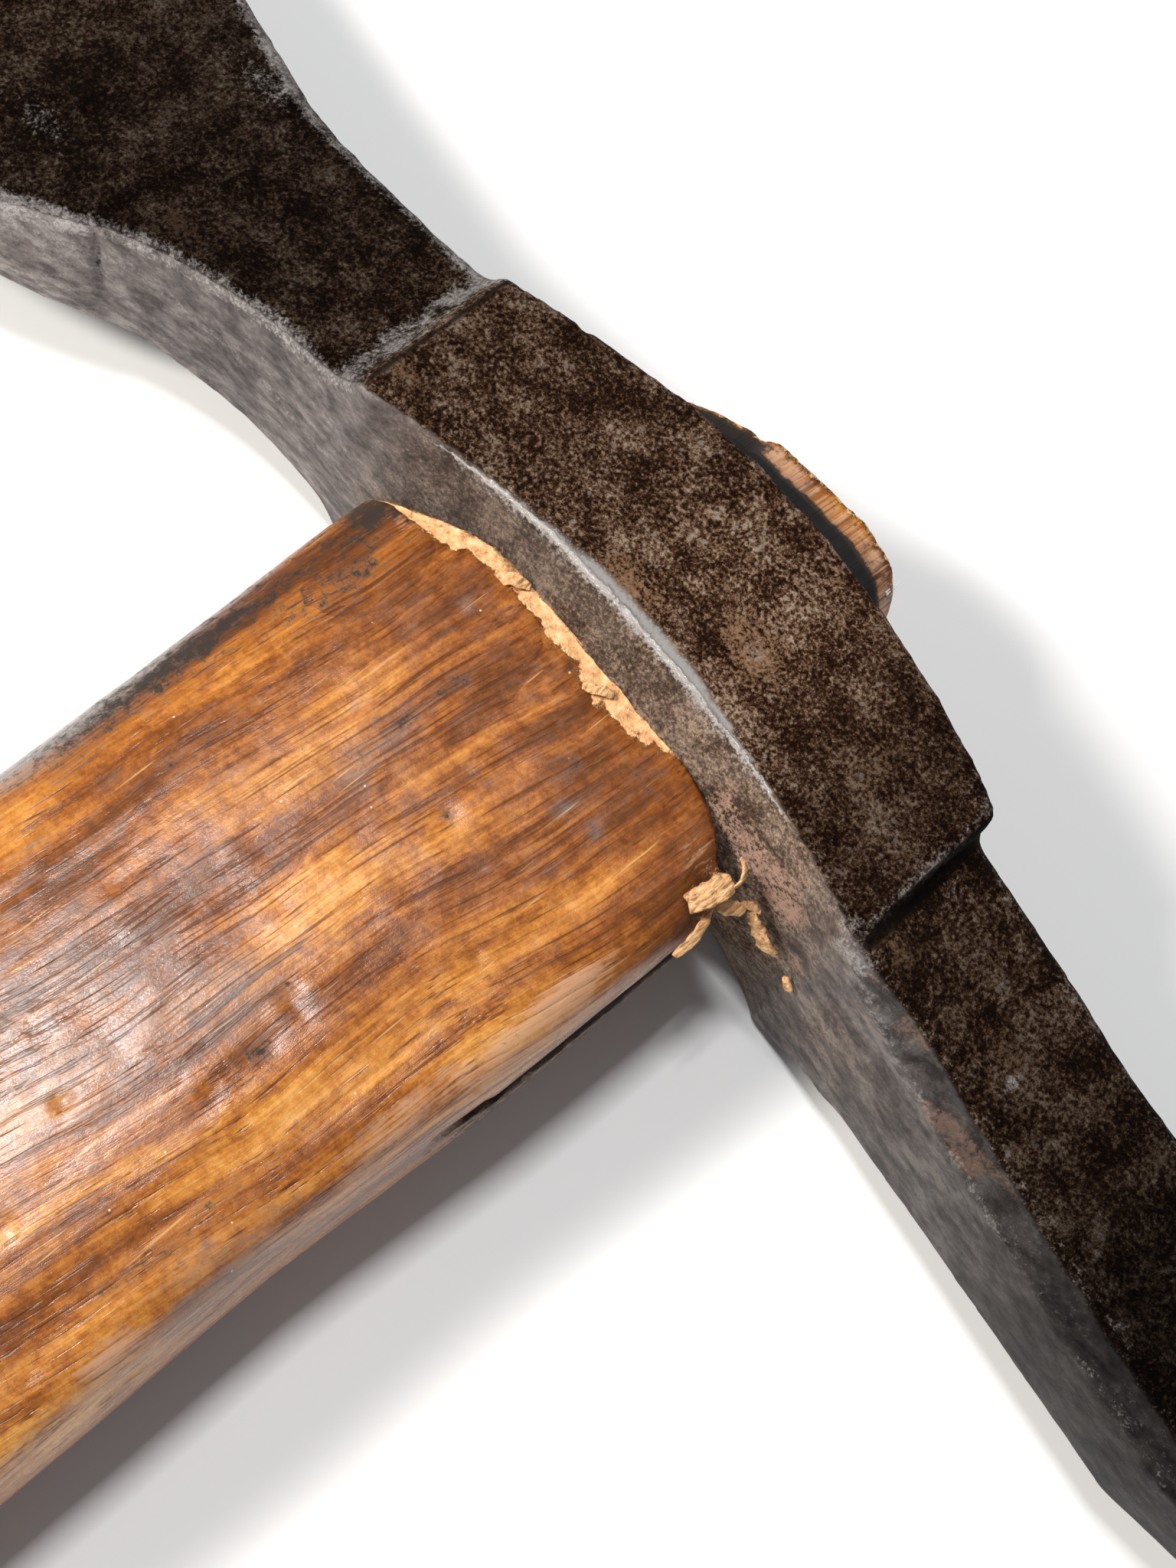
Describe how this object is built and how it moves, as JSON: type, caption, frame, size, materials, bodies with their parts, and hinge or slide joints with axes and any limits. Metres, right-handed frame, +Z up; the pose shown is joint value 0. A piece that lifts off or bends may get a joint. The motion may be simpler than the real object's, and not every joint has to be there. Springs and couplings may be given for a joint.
{
  "type": "chipping hammer",
  "caption": "Hand chipping hammer: a forged double-ended head with a flared vertical blade and a square taper pick, wedged on a flat-shouldered wooden handle.",
  "frame": {"origin": "on the lower cheek of the head's eye block, under the middle of the eye", "axes": "the hammer lies on one cheek: +Z up through the head's thickness, +Y along the handle towards the top of the head, +X towards the pick"},
  "size_m": [0.166, 0.3068, 0.024],
  "materials": {
    "forged_steel": "forged, dark scale with rust, edges worn bright",
    "oiled_hardwood": "oiled, darkened by use, fresh cut at the shoulder",
    "bare_hardwood": "sawn and dry",
    "wedge_steel": "dull mild steel, hammered at its head"
  },
  "bodies": {
    "root": {"head": "forged_steel", "handle": "oiled_hardwood", "wood_wedge": "bare_hardwood", "steel_wedge": "wedge_steel"}
  },
  "joints": []
}
